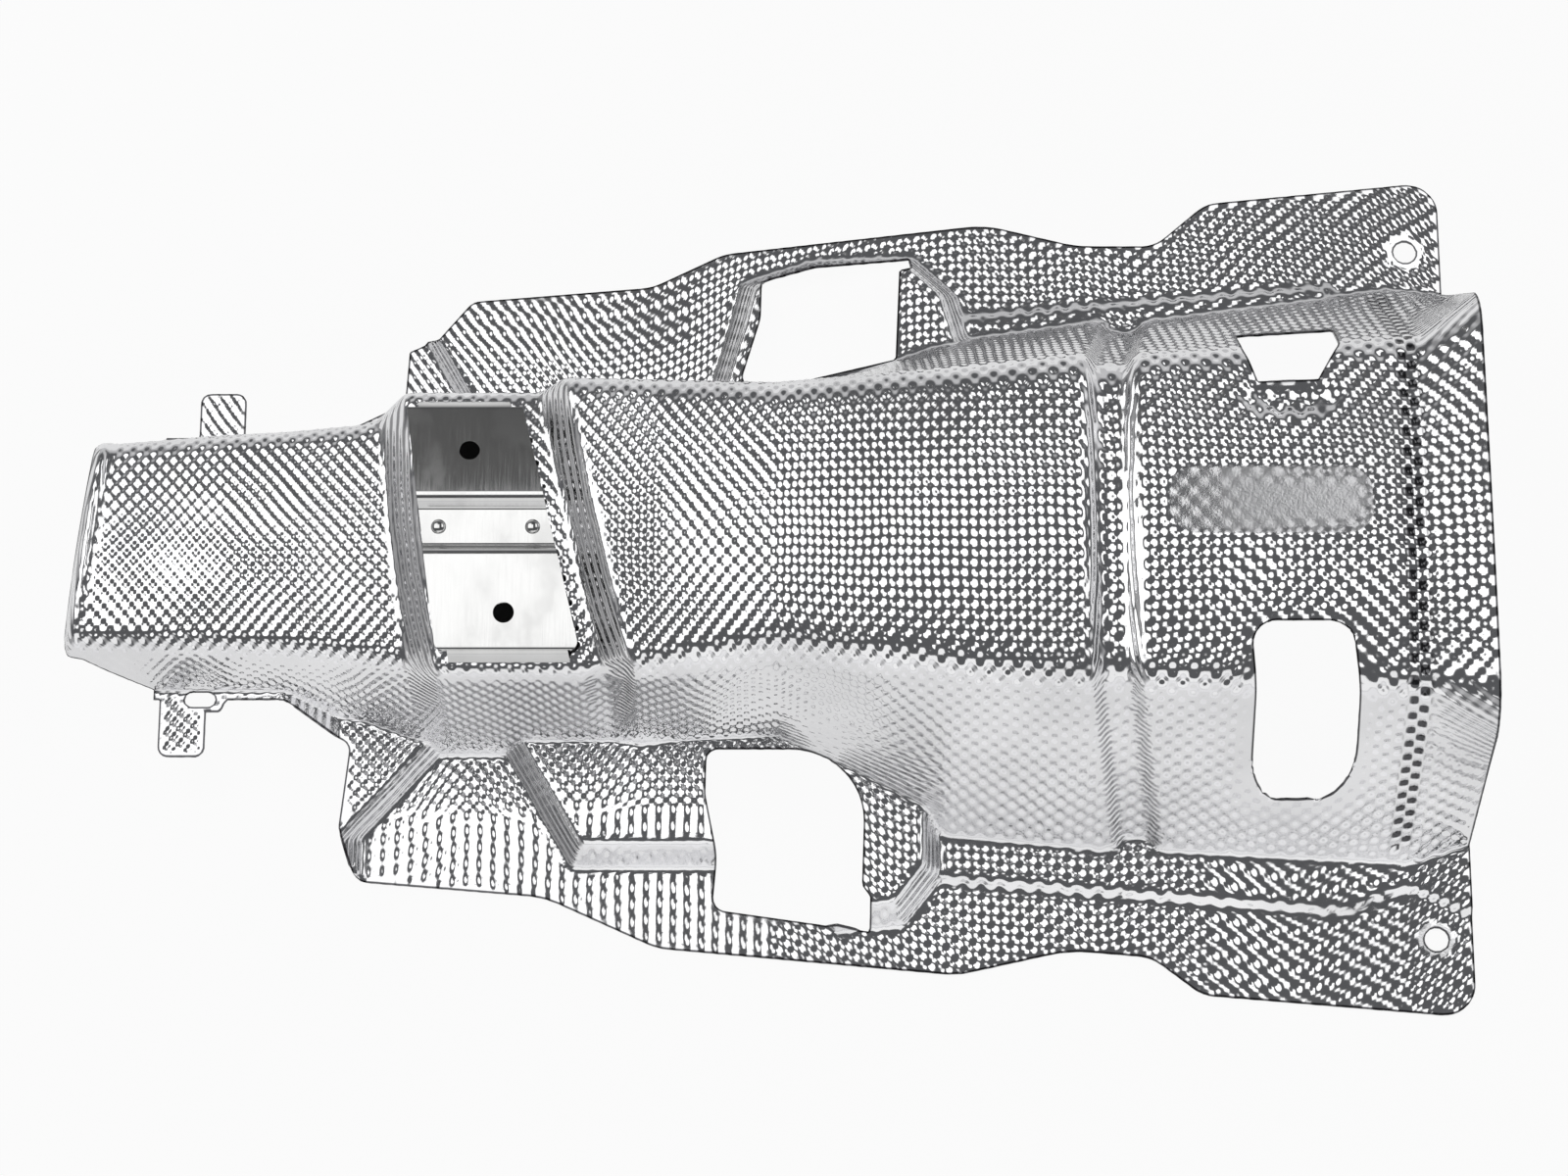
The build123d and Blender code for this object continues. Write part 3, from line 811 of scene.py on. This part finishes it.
@dataclass
class EmbossedSheet:
    """The pressed sheet, sampled from the CAD panel, cut, embossed and thickened."""

    node: bpy.types.Object
    bracket: bpy.types.Object
    emboss: Emboss
    thickness: float = 1.0 * MM
    probe_height: float = 0.3
    margin: float = 6.0 * MM
    table_step: float = 1.0 * MM
    draw_in: float = 12.0 * MM
    wobble: float = 1.0 * MM
    wobble_waves: float = 45.0
    wobble_seed: int = 7
    smoothing_rounds: int = 2
    smoothing: float = 0.5
    bisections: int = 10
    least_share: float = 0.02
    seat_room: float = 1.6 * MM
    edge_fade: Span = (0.5 * MM, 4.0 * MM)
    edge_share: float = 0.35
    step_slope: Span = (0.22, 0.5)
    step_loss: float = 0.88
    inner_thinning: int = 2
    # Where the pattern is pressed flat: the plaque, a patch beside it, and round two of the holes.
    flat_zones: tuple[PatternZone, ...] = (
        PatternZone((0.168, -0.010), (0.225, 0.022), corner_r=10.0 * MM, fade=3.0 * MM, inside=0.22),
        PatternZone((0.192, -0.010), (0.258, 0.022), corner_r=12.0 * MM, fade=10.0 * MM, inside=0.05),
        PatternZone((0.196, -0.118), (0.260, -0.040), corner_r=16.0 * MM, fade=8.0 * MM, inside=0.35),
        PatternZone((0.2815, 0.1525), (0.3005, 0.1715), corner_r=9.5 * MM, fade=1.5 * MM, inside=0.0),
        PatternZone((0.2815, -0.1715), (0.3005, -0.1525), corner_r=9.5 * MM, fade=1.5 * MM, inside=0.0),
    )
    # Where the tops are drawn out into ridges across the part.
    drawn_zones: tuple[PatternZone, ...] = (
        PatternZone((-0.215, -0.225), (0.010, -0.096), corner_r=20.0 * MM, fade=16.0 * MM, inside=0.35),
        PatternZone((0.180, -0.215), (0.285, -0.115), corner_r=12.0 * MM, fade=22.0 * MM, inside=0.40),
        PatternZone((-0.150, 0.105), (-0.020, 0.200), corner_r=20.0 * MM, fade=24.0 * MM, inside=0.65),
    )
    # Where the pattern is deeper than elsewhere.
    deep_zones: tuple[PatternZone, ...] = (
        PatternZone((-0.285, -0.170), (-0.215, -0.085), corner_r=5.0 * MM, fade=3.0 * MM, inside=1.35),
        PatternZone((-0.285, 0.075), (-0.215, 0.150), corner_r=5.0 * MM, fade=3.0 * MM, inside=1.35),
        PatternZone((-0.085, -0.062), (-0.045, 0.062), corner_r=8.0 * MM, fade=6.0 * MM, inside=1.35),
    )
    dents: tuple[Dent, ...] = (
        Dent((0.224, 0.053), (0.026, 0.010), depth=3.0 * MM),
        Dent((-0.069, -0.067), (0.013, 0.008), depth=2.5 * MM),
    )
    roll_reach: float = 10.0 * MM
    roll_depth: float = 6.0 * MM
    crease_x: float = 0.275
    crease_half: float = 8.0 * MM
    crease_depth: float = 0.9 * MM
    crease_gain: float = 0.3
    tunnel_floor: float = 12.0 * MM
    bend_fade: Span = (60.0, 220.0)
    bend_loss: float = 0.75
    bend_step: float = 0.2 * MM
    unevenness: float = 0.35
    rim_cosine: float = 0.35
    panel_tree: BVHTree = field(init=False)
    bracket_tree: BVHTree = field(init=False)

    def __post_init__(self) -> None:
        """Makes the ray-casting trees."""
        self.panel_tree = tree_of(self.node)
        self.bracket_tree = tree_of(self.bracket)

    def top(self, x: float, y: float) -> float | None:
        """Height of the panel's upper face at a place in plan, or None off the sheet."""
        place = self.panel_tree.ray_cast(Vector((x, y, self.probe_height)), DOWN)[0]
        return None if place is None else place.z

    def build(self) -> bpy.types.Object:
        """Builds the sheet.

        Returns:
            The finished object.
        """
        shape = bmesh.new()
        shape.verts.layers.int.new(Layer.SOURCE.value)
        layer = shape.verts.layers.float_vector.new(Layer.LATTICE.value)
        inside = self._spread(shape, layer)
        self._cut(shape, layer, inside)
        self._soften(shape)
        self._dent(shape)
        return link_object("embossed_sheet", self._finish(shape, layer))

    def _columns(self) -> tuple[np.ndarray, np.ndarray]:
        """Finds where the lattice's columns lie.

        Returns:
            The columns' numbers in half pitches, and X of each column.
        """
        low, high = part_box(Node.PANEL.value)
        along = np.arange(low.x - self.margin, high.x + self.margin, self.table_step)
        steps = 2.0 * self.table_step / self.emboss.pitch_along(along[1:])
        counts = np.concatenate([[0.0], np.cumsum(steps)])
        numbers = np.arange(0, int(counts[-1]) + 1)
        return numbers, np.interp(numbers, counts, along)

    def _rows(self, columns: np.ndarray) -> tuple[np.ndarray, np.ndarray]:
        """Finds where lattice rows cross each column, counted along the sheet.

        Args:
            columns: X of each column.

        Returns:
            The rows' numbers in half pitches, and Y of each row (second axis) on each column (first axis).
        """
        low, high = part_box(Node.PANEL.value)
        reach = max(-low.y, high.y) + self.margin
        across = np.arange(-reach, reach + self.table_step, self.table_step)
        heights = np.full((len(columns), len(across)), np.nan)
        for i, x in enumerate(columns):
            for k, y in enumerate(across):
                z = self.top(x, y)
                if z is not None:
                    heights[i, k] = z
        known = ~np.isnan(heights)
        filled = [i for i in range(len(columns)) if known[i].any()]
        for i in range(len(columns)):
            source = min(filled, key=lambda n: abs(n - i))
            heights[i] = np.interp(across, across[known[source]], heights[source][known[source]])
        length = self._from_middle(np.hypot(np.diff(across)[None, :], np.diff(heights, axis=1)), across)
        apart = columns[:, None] - columns[None, :]
        weights = np.exp(-0.5 * (apart / self.draw_in) ** 2)
        weights /= weights.sum(axis=1, keepdims=True)
        length = weights @ length
        pitch = self.emboss.pitch_across(columns[:, None], length)
        counts = self._from_middle(2.0 * np.diff(length, axis=1) / pitch[:, 1:], across)
        count = int(math.ceil(np.abs(counts).max()))
        rows = np.arange(-count, count + 1)
        places = np.stack([np.interp(rows, counts[i], across) for i in range(len(columns))])
        return rows, places

    @staticmethod
    def _from_middle(steps: np.ndarray, across: np.ndarray) -> np.ndarray:
        """Adds up steps along the second axis, from 0 at the middle of the part."""
        total = np.concatenate([np.zeros((len(steps), 1)), np.cumsum(steps, axis=1)], axis=1)
        middle = int(np.argmin(np.abs(across)))
        return total - total[:, middle : middle + 1]

    def _spread(self, shape: bmesh.types.BMesh, layer: object) -> set[bmesh.types.BMVert]:
        """Lays a grid over the form, one vertex at each half pitch of the lattice.

        Args:
            shape: The mesh that gets the grid.
            layer: Its layer for the lattice.

        Returns:
            The vertices that lie on the sheet.
        """
        noise.seed_set(self.wobble_seed)
        numbers, columns = self._columns()
        rows, places = self._rows(columns)
        nx, ny = len(columns) - 1, len(rows) - 1
        bmesh.ops.create_grid(shape, x_segments=nx, y_segments=ny, size=1.0)
        inside = set()
        for vertex in shape.verts:
            i = round((vertex.co.x + 1.0) / 2.0 * nx)
            j = round((vertex.co.y + 1.0) / 2.0 * ny)
            x, y = float(columns[i]), float(places[i, j])
            shift = noise.noise_vector(Vector((x, y, 0.0)) * self.wobble_waves) * self.wobble
            x, y = x + shift.x, y + shift.y
            z = self.top(x, y)
            if z is not None:
                inside.add(vertex)
            vertex.co = (x, y, 0.0 if z is None else z)
            vertex[layer] = (numbers[i] / 2.0, rows[j] / 2.0, 1.0)
        return inside

    def _cut(self, shape: bmesh.types.BMesh, layer: object, inside: set[bmesh.types.BMVert]) -> None:
        """Cuts the grid along the edges of the panel.

        Args:
            shape: The grid.
            layer: Its layer for the lattice.
            inside: The vertices that lie on the sheet.
        """
        empty = [face for face in shape.faces if not any(vertex in inside for vertex in face.verts)]
        bmesh.ops.delete(shape, geom=empty, context="FACES")
        crossing = [edge for edge in shape.edges if (edge.verts[0] in inside) != (edge.verts[1] in inside)]
        rim = []
        for edge in crossing:
            near, far = edge.verts if edge.verts[0] in inside else reversed(edge.verts)
            share, place = self._edge_place(near.co, far.co)
            mixed = near[layer].lerp(far[layer], share)
            vertex = bmesh.utils.edge_split(edge, near, share)[1]
            vertex.co = place
            vertex[layer] = mixed
            rim.append(vertex)
        bmesh.ops.connect_verts(shape, verts=rim)
        kept = inside.union(rim)
        outside = [vertex for vertex in shape.verts if vertex not in kept]
        bmesh.ops.delete(shape, geom=outside, context="VERTS")

    def _edge_place(self, near: Vector, far: Vector) -> tuple[float, Vector]:
        """Finds where a line in plan leaves the sheet.

        Args:
            near: Its end on the sheet.
            far: Its end off the sheet.

        Returns:
            The share of the way from near to far, and the place on the sheet.
        """
        low, high = 0.0, 1.0
        height = near.z
        for _ in range(self.bisections):
            middle = (low + high) / 2.0
            z = self.top(near.x + (far.x - near.x) * middle, near.y + (far.y - near.y) * middle)
            if z is None:
                high = middle
            else:
                low, height = middle, z
        share = max(low, self.least_share)
        return share, Vector((near.x + (far.x - near.x) * share, near.y + (far.y - near.y) * share, height))

    def _soften(self, shape: bmesh.types.BMesh) -> None:
        """Rounds the form's creases as a press does, and leaves the cut edges where they are."""
        free = apart_from(shape, {vertex for vertex in shape.verts if vertex.is_boundary})
        for _ in range(self.smoothing_rounds):
            bmesh.ops.smooth_vert(
                shape, verts=free, factor=self.smoothing, use_axis_x=True, use_axis_y=True, use_axis_z=True
            )

    def _dent(self, shape: bmesh.types.BMesh) -> None:
        """Presses the crease and the small hollows into the form, and rolls the narrow end's edge down."""
        shape.normal_update()
        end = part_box(Node.PANEL.value)[0].x
        moves = []
        for vertex in shape.verts:
            depth = sum(dent.fall(vertex.co.x, vertex.co.y) for dent in self.dents)
            depth += self.crease_depth * self._crease(vertex.co)
            if depth > 0.0 and not vertex.is_boundary:
                moves.append((vertex, vertex.normal * -depth))
            if vertex.co.z > self.tunnel_floor and vertex.co.x < end + self.roll_reach:
                fall = self.roll_depth * (1.0 - (vertex.co.x - end) / self.roll_reach) ** 2
                moves.append((vertex, Vector((0.0, 0.0, -fall))))
        for vertex, move in moves:
            vertex.co += move

    def _crease(self, place: Vector) -> float:
        """Share of the crease's full depth at a place."""
        if place.z < self.tunnel_floor:
            return 0.0
        return 1.0 - float(ease(0.0, self.crease_half, abs(place.x - self.crease_x)))

    def _drawn(self, place: Vector) -> float:
        """How far the pattern is drawn out into ridges at a place."""
        return 1.0 - min(zone.share(place.x, place.y) for zone in self.drawn_zones)

    def _bends(self, shape: bmesh.types.BMesh) -> list[float]:
        """Sharpest bend of the form at each vertex, in radians a metre."""
        bends = []
        for vertex in shape.verts:
            bend = 0.0
            for edge in vertex.link_edges:
                turn = vertex.normal.angle(edge.other_vert(vertex).normal, 0.0)
                bend = max(bend, turn / max(edge.calc_length(), self.bend_step))
            bends.append(bend)
        return bends

    def _finish(self, shape: bmesh.types.BMesh, layer: object) -> bpy.types.Mesh:
        """Embosses the sheet, gives it its thickness and keeps what the material needs.

        Args:
            shape: The cut and softened form.
            layer: Its layer for the lattice.

        Returns:
            The finished mesh.
        """
        source = shape.verts.layers.int[Layer.SOURCE.value]
        shape.normal_update()
        shape.verts.index_update()
        for vertex in shape.verts:
            vertex[source] = vertex.index
        normals = [vertex.normal.copy() for vertex in shape.verts]
        edges = self._edge_distances(shape)
        pressed = self._press(shape, layer, normals, edges)
        upper = self._thicken(shape, layer, normals)
        base = []
        for vertex in shape.verts:
            normal = normals[vertex[source]]
            streak = float(ease(*self.step_slope, abs(normal.x)))
            outward = normal if vertex in upper else -normal
            base.append((outward, edges[vertex[source]], streak, *pressed[vertex[source]]))
        mesh = mesh_of("embossed_sheet", shape)
        self._write_layers(mesh, base)
        return mesh

    def _press(
        self, shape: bmesh.types.BMesh, layer: object, normals: list[Vector], edges: list[float]
    ) -> list[Span]:
        """Presses the pattern into the form.

        Args:
            shape: The cut and softened form.
            layer: Its layer for the lattice.
            normals: The form's normal at each vertex.
            edges: Each vertex's distance from the nearest cut edge.

        Returns:
            For each vertex, the shares of ridges and of the crease.
        """
        bends = self._bends(shape)
        pressed = []
        for vertex, normal, edge, bend in zip(shape.verts, normals, edges, bends):
            column, row, _ = vertex[layer]
            crease = self._crease(vertex.co)
            depth = self._depth(vertex.co, normal, edge) * (1.0 + self.crease_gain * crease)
            depth *= 1.0 - self.bend_loss * float(ease(*self.bend_fade, bend)) * (1.0 - crease)
            drawn = self._drawn(vertex.co)
            pressed.append((drawn, crease))
            vertex.co += normal * self.emboss.height(column, row, drawn) * depth
            vertex[layer] = (column, row, depth)
        return pressed

    def _thicken(
        self, shape: bmesh.types.BMesh, layer: object, normals: list[Vector]
    ) -> set[bmesh.types.BMVert]:
        """Gives the sheet its thickness, with a coarser mesh on the underside.

        Args:
            shape: The embossed upper face.
            layer: Its layer for the lattice.
            normals: The form's normal at each of its vertices.

        Returns:
            The vertices of the upper face.
        """
        source = shape.verts.layers.int[Layer.SOURCE.value]
        upper = set(shape.verts)
        bmesh.ops.extrude_face_region(shape, geom=list(shape.faces), use_keep_orig=True)
        for vertex in shape.verts:
            if vertex not in upper:
                vertex.co -= normals[vertex[source]] * self.thickness
                column, row, depth = vertex[layer]
                vertex[layer] = (column, row, -depth)
        hidden = apart_from(shape, upper)
        bmesh.ops.unsubdivide(shape, verts=hidden, iterations=self.inner_thinning)
        bmesh.ops.recalc_face_normals(shape, faces=shape.faces)
        return upper

    def _edge_distances(self, shape: bmesh.types.BMesh) -> list[float]:
        """Distance of each vertex from the nearest cut edge."""
        rim = [vertex.co.copy() for vertex in shape.verts if vertex.is_boundary]
        tree = KDTree(len(rim))
        for i, place in enumerate(rim):
            tree.insert(place, i)
        tree.balance()
        return [tree.find(vertex.co)[2] for vertex in shape.verts]

    def _depth(self, place: Vector, normal: Vector, edge: float) -> float:
        """Depth of the embossing that is left at a place.

        Args:
            place: The place on the form.
            normal: The form's normal there.
            edge: Its distance from the nearest cut edge.

        Returns:
            The depth, which is 0 where the sheet is pressed flat.
        """
        above = self.bracket_tree.ray_cast(place - self.seat_room * UP, UP)
        if above[0] is not None and above[3] < 2.0 * self.seat_room:
            return 0.0
        share = between((self.edge_share, 1.0), float(ease(*self.edge_fade, edge)))
        share *= 1.0 - self.step_loss * float(ease(*self.step_slope, abs(normal.x)))
        for zone in self.flat_zones:
            share = min(share, zone.share(place.x, place.y))
        for zone in self.deep_zones:
            share *= zone.share(place.x, place.y)
        uneven = 1.0 + self.unevenness * noise.noise(place * self.wobble_waves)
        return share * uneven * self.emboss.depth(place.x)

    def _write_layers(
        self, mesh: bpy.types.Mesh, base: list[tuple[Vector, float, float, float, float]]
    ) -> None:
        """Writes the layers that the material reads, and the shading normals.

        Args:
            mesh: The finished mesh.
            base: For each vertex, the form's normal, the distance from the cut edge, and the shares
                of streaks, of ridges and of the crease.
        """
        layers = (Layer.EDGE, Layer.STREAK, Layer.DRAWN, Layer.CREASE)
        for index, layer in enumerate(layers, start=1):
            values = mesh.attributes.new(layer.value, "FLOAT", "POINT")
            values.data.foreach_set("value", [entry[index] for entry in base])
        mesh.shade_smooth()
        loops = [None] * len(mesh.loops)
        for face in mesh.polygons:
            sides = [base[mesh.loops[n].vertex_index][0] for n in face.loop_indices]
            is_rim = sum(sides, Vector()).normalized().dot(face.normal) < self.rim_cosine
            for n, normal in zip(face.loop_indices, sides):
                loops[n] = face.normal if is_rim else normal
        mesh.normals_split_custom_set([tuple(normal) for normal in loops])


@dataclass
class FoldedBracket:
    """The folded steel strip, copied from the CAD node with its edges rounded."""

    node: bpy.types.Object
    merge_gap: float = 0.001 * MM
    level_deg: float = 0.5
    edge_round: float = 0.35 * MM
    round_segments: int = 2
    sharp_deg: float = 40.0
    smooth_deg: float = 15.0

    def build(self) -> bpy.types.Object:
        """Builds the bracket.

        Returns:
            The finished object.
        """
        shape = bmesh.new()
        shape.from_mesh(self.node.data)
        bmesh.ops.remove_doubles(shape, verts=shape.verts, dist=self.merge_gap)
        level = math.radians(self.level_deg)
        bmesh.ops.dissolve_limit(shape, angle_limit=level, verts=shape.verts, edges=shape.edges)
        sharp = [
            edge
            for edge in shape.edges
            if edge.is_manifold and edge.calc_face_angle() > math.radians(self.sharp_deg)
        ]
        bmesh.ops.bevel(
            shape,
            geom=sharp,
            offset=self.edge_round,
            offset_type="OFFSET",
            segments=self.round_segments,
            profile=0.5,
            affect="EDGES",
            clamp_overlap=True,
            material=-1,
        )
        mesh = mesh_of("folded_bracket", shape)
        mesh.shade_smooth()
        mesh.set_sharp_from_angle(angle=math.radians(self.smooth_deg))
        return link_object("folded_bracket", mesh)


@dataclass
class DomedRivets:
    """The two rivets, with domed heads on the bracket's seat."""

    head_height: float = 1.8 * MM
    shank_r: float = 1.95 * MM
    segments: int = 32
    smooth_deg: float = 35.0

    def build(self) -> bpy.types.Object:
        """Builds both rivets.

        Returns:
            The finished object.
        """
        low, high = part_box(Node.RIVETS.value)
        radius = (high.y - low.y) / 2.0
        seat = high.z - self.head_height
        middle = (high.y + low.y) / 2.0
        shape = bmesh.new()
        for x in (low.x + radius, high.x - radius):
            self._head(shape, Vector((x, middle, seat)), radius)
            self._shank(shape, Vector((x, middle, (seat + low.z) / 2.0)), seat - low.z)
        mesh = mesh_of("domed_rivets", shape)
        mesh.shade_smooth()
        mesh.set_sharp_from_angle(angle=math.radians(self.smooth_deg))
        return link_object("domed_rivets", mesh)

    def _head(self, shape: bmesh.types.BMesh, seat: Vector, radius: float) -> None:
        """Adds a domed head.

        Args:
            shape: The mesh that gets it.
            seat: Middle of the head's flat underside.
            radius: Radius of the head.
        """
        ball = bmesh.ops.create_uvsphere(
            shape, u_segments=self.segments, v_segments=self.segments // 2, radius=radius
        )["verts"]
        bmesh.ops.scale(shape, verts=ball, vec=(1.0, 1.0, self.head_height / radius))
        parts = set(ball)
        for vertex in ball:
            parts.update(vertex.link_edges)
            parts.update(vertex.link_faces)
        cut = bmesh.ops.bisect_plane(
            shape, geom=list(parts), plane_co=(0.0, 0.0, 0.0), plane_no=(0.0, 0.0, 1.0), clear_inner=True
        )
        rim = [item for item in cut["geom_cut"] if isinstance(item, bmesh.types.BMEdge)]
        bmesh.ops.holes_fill(shape, edges=rim, sides=0)
        dome = {item for item in cut["geom"] if item.is_valid and isinstance(item, bmesh.types.BMVert)}
        dome.update(vertex for edge in rim for vertex in edge.verts)
        bmesh.ops.translate(shape, verts=list(dome), vec=seat)

    def _shank(self, shape: bmesh.types.BMesh, middle: Vector, length: float) -> None:
        """Adds a plain shank of a given length round its middle."""
        rod = bmesh.ops.create_cone(
            shape,
            cap_ends=True,
            segments=self.segments,
            radius1=self.shank_r,
            radius2=self.shank_r,
            depth=length,
        )
        bmesh.ops.translate(shape, verts=rod["verts"], vec=middle)


def hand_over(piece: bpy.types.Object, material: bpy.types.Material, node: Node) -> None:
    """Gives a finished piece its material and body, and hides the CAD node that it replaces.

    Args:
        piece: The finished piece.
        material: Its material.
        node: The CAD node that it replaces.
    """
    piece.data.materials.append(material)
    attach(piece, BODY)
    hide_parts(node.value)
    piece.data.calc_loop_triangles()
    LOG.info("%s: %d triangles", piece.name, len(piece.data.loop_triangles))


def main() -> None:
    """Builds the camera, the studio and the part."""
    logging.basicConfig(level=logging.INFO, format="%(name)s: %(message)s")
    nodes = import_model()["nodes"]
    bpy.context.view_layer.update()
    bpy.context.scene.view_settings.view_transform = "Standard"
    PhotoCamera().build()
    Studio().build()
    emboss = Emboss()
    panel, bracket = nodes[Node.PANEL.value], nodes[Node.BRACKET.value]
    sheet = EmbossedSheet(panel, bracket, emboss).build()
    hand_over(sheet, BrightAluminium(emboss).material(), Node.PANEL)
    strip = BrightSteel("bright_strip")
    hand_over(FoldedBracket(bracket).build(), strip.material(), Node.BRACKET)
    rivet = BrightSteel("bright_rivet", line_depth=0.001 * MM)
    hand_over(DomedRivets().build(), rivet.material(), Node.RIVETS)


if __name__ == "__main__":
    main()
